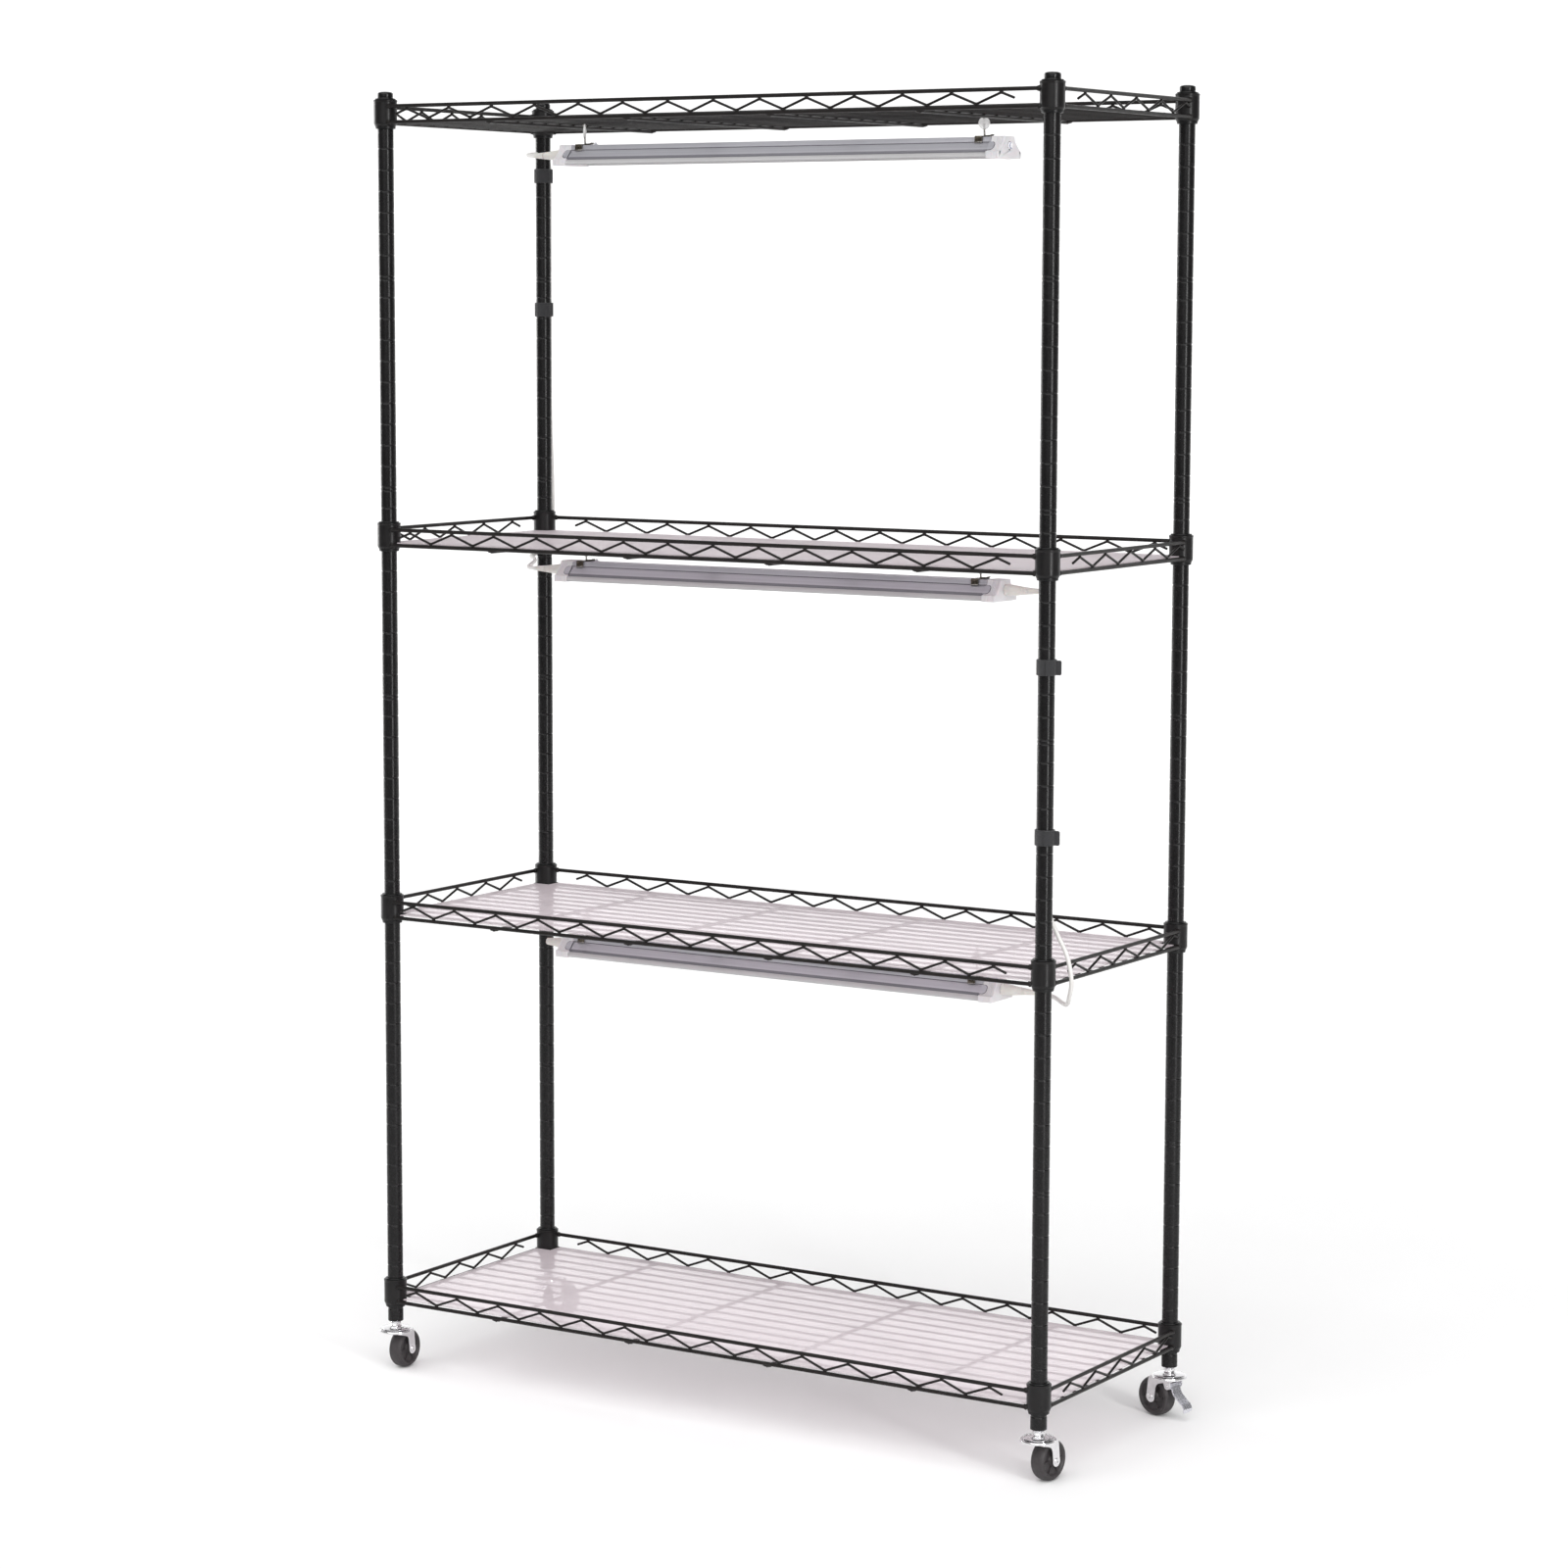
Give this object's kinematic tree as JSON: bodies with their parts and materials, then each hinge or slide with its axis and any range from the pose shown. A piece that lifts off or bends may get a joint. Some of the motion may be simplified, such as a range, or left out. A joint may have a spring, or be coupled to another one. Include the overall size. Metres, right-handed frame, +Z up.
{
  "type": "wire shelving rack",
  "caption": "Tall narrow black wire shelving rack on swivel casters, with frosted shelf liners and hanging grow lights joined by link cords, for raising plants indoors.",
  "frame": {"origin": "on the floor, midway between the four posts", "axes": "+X along the rack's long side to the right, front faces -Y, +Z up"},
  "size_m": [0.9756, 0.3669, 1.5736],
  "materials": {
    "post": "satin black powder coat",
    "shelf": "satin black epoxy coat over wire",
    "cap": "moulded black plastic",
    "liner": "frosted translucent sheet",
    "housing": "satin anodised extrusion",
    "tube": "milky diffuser",
    "end_cap": "white moulded plastic",
    "hook": "bent spring wire and strip",
    "button": "white moulded plastic with a blue ring",
    "connector": "white moulded plastic",
    "cord": "white flexible sheath",
    "strap": "black hook-and-loop tape",
    "zinc": "bright zinc plate",
    "tyre": "black moulded wheel",
    "lever": "plated pressing"
  },
  "bodies": {
    "root": {"post_front_left": "post", "cap_front_left": "cap", "caster_stem_front_left": "zinc", "post_front_right": "post", "cap_front_right": "cap", "caster_stem_front_right": "zinc", "post_back_right": "post", "cap_back_right": "cap", "caster_stem_back_right": "zinc", "post_back_left": "post", "cap_back_left": "cap", "caster_stem_back_left": "zinc", "shelf_top": "shelf", "shelf_upper": "shelf", "shelf_lower": "shelf", "shelf_bottom": "shelf", "liner_upper": "liner", "liner_lower": "liner", "liner_bottom": "liner", "link_cord_upper": "cord", "link_cord_lower": "cord", "strap_back_left_upper": "strap", "strap_back_left_lower": "strap", "strap_front_right_upper": "strap", "strap_front_right_lower": "strap"},
    "grow_light_top": {"light_channel_top": "housing", "light_tube_top": "tube", "light_cap_left_top": "end_cap", "light_cap_right_top": "end_cap", "light_hook_left_top": "hook", "light_hook_right_top": "hook", "connector_left_top": "connector"},
    "grow_light_middle": {"light_channel_middle": "housing", "light_tube_middle": "tube", "light_cap_left_middle": "end_cap", "light_cap_right_middle": "end_cap", "light_hook_left_middle": "hook", "light_hook_right_middle": "hook", "connector_left_middle": "connector", "connector_right_middle": "connector"},
    "grow_light_low": {"light_channel_low": "housing", "light_tube_low": "tube", "light_cap_left_low": "end_cap", "light_cap_right_low": "end_cap", "light_hook_left_low": "hook", "light_hook_right_low": "hook", "connector_left_low": "connector", "connector_right_low": "connector"},
    "switch_button": {"switch_button": "button"},
    "yoke_front_left": {"caster_yoke_front_left": "zinc"},
    "wheel_front_left": {"caster_wheel_front_left": "tyre"},
    "yoke_front_right": {"caster_yoke_front_right": "zinc"},
    "wheel_front_right": {"caster_wheel_front_right": "tyre"},
    "yoke_back_right": {"caster_yoke_back_right": "zinc"},
    "wheel_back_right": {"caster_wheel_back_right": "tyre"},
    "lever_back_right": {"brake_lever_back_right": "lever"},
    "yoke_back_left": {"caster_yoke_back_left": "zinc"},
    "wheel_back_left": {"caster_wheel_back_left": "tyre"},
    "lever_back_left": {"brake_lever_back_left": "lever"}
  },
  "joints": [
    {"name": "light_swing_top", "type": "hinge", "parent": "root", "child": "grow_light_top", "pos_m": [0, 0, 1.5373], "axis": [1, 0, 0], "range_deg": [-25, 25]},
    {"name": "light_swing_middle", "type": "hinge", "parent": "root", "child": "grow_light_middle", "pos_m": [0, 0, 1.0293], "axis": [1, 0, 0], "range_deg": [-25, 25]},
    {"name": "light_swing_low", "type": "hinge", "parent": "root", "child": "grow_light_low", "pos_m": [0, 0, 0.5721], "axis": [1, 0, 0], "range_deg": [-25, 25]},
    {"name": "switch_press", "type": "slide", "parent": "grow_light_top", "child": "switch_button", "axis": [-1, 0, 0], "range_m": [0, 0.0015], "stiffness_N_per_m": 400},
    {"name": "caster_swivel_front_left", "type": "hinge", "parent": "root", "child": "yoke_front_left", "pos_m": [-0.4555, -0.1625, 0.051], "axis": [0, 0, 1], "continuous": true},
    {"name": "wheel_spin_front_left", "type": "hinge", "parent": "yoke_front_left", "child": "wheel_front_left", "pos_m": [-0.45649, -0.14353, 0.024], "axis": [-0.9986, -0.0523, 0], "continuous": true},
    {"name": "caster_swivel_front_right", "type": "hinge", "parent": "root", "child": "yoke_front_right", "pos_m": [0.4555, -0.1625, 0.051], "axis": [0, 0, 1], "continuous": true},
    {"name": "wheel_spin_front_right", "type": "hinge", "parent": "yoke_front_right", "child": "wheel_front_right", "pos_m": [0.45814, -0.14369, 0.024], "axis": [-0.9903, 0.1392, 0], "continuous": true},
    {"name": "caster_swivel_back_right", "type": "hinge", "parent": "root", "child": "yoke_back_right", "pos_m": [0.4555, 0.1625, 0.051], "axis": [0, 0, 1], "continuous": true},
    {"name": "wheel_spin_back_right", "type": "hinge", "parent": "yoke_back_right", "child": "wheel_back_right", "pos_m": [0.43715, 0.16742, 0.024], "axis": [-0.2588, -0.9659, 0], "continuous": true},
    {"name": "brake_back_right", "type": "hinge", "parent": "yoke_back_right", "child": "lever_back_right", "pos_m": [0.46226, 0.16069, 0.0415], "axis": [-0.2588, -0.9659, 0], "range_deg": [-25, 0]},
    {"name": "caster_swivel_back_left", "type": "hinge", "parent": "root", "child": "yoke_back_left", "pos_m": [-0.4555, 0.1625, 0.051], "axis": [0, 0, 1], "continuous": true},
    {"name": "wheel_spin_back_left", "type": "hinge", "parent": "yoke_back_left", "child": "wheel_back_left", "pos_m": [-0.43715, 0.16742, 0.024], "axis": [-0.2588, 0.9659, 0], "continuous": true},
    {"name": "brake_back_left", "type": "hinge", "parent": "yoke_back_left", "child": "lever_back_left", "pos_m": [-0.46226, 0.16069, 0.0415], "axis": [-0.2588, 0.9659, 0], "range_deg": [-25, 0]}
  ]
}
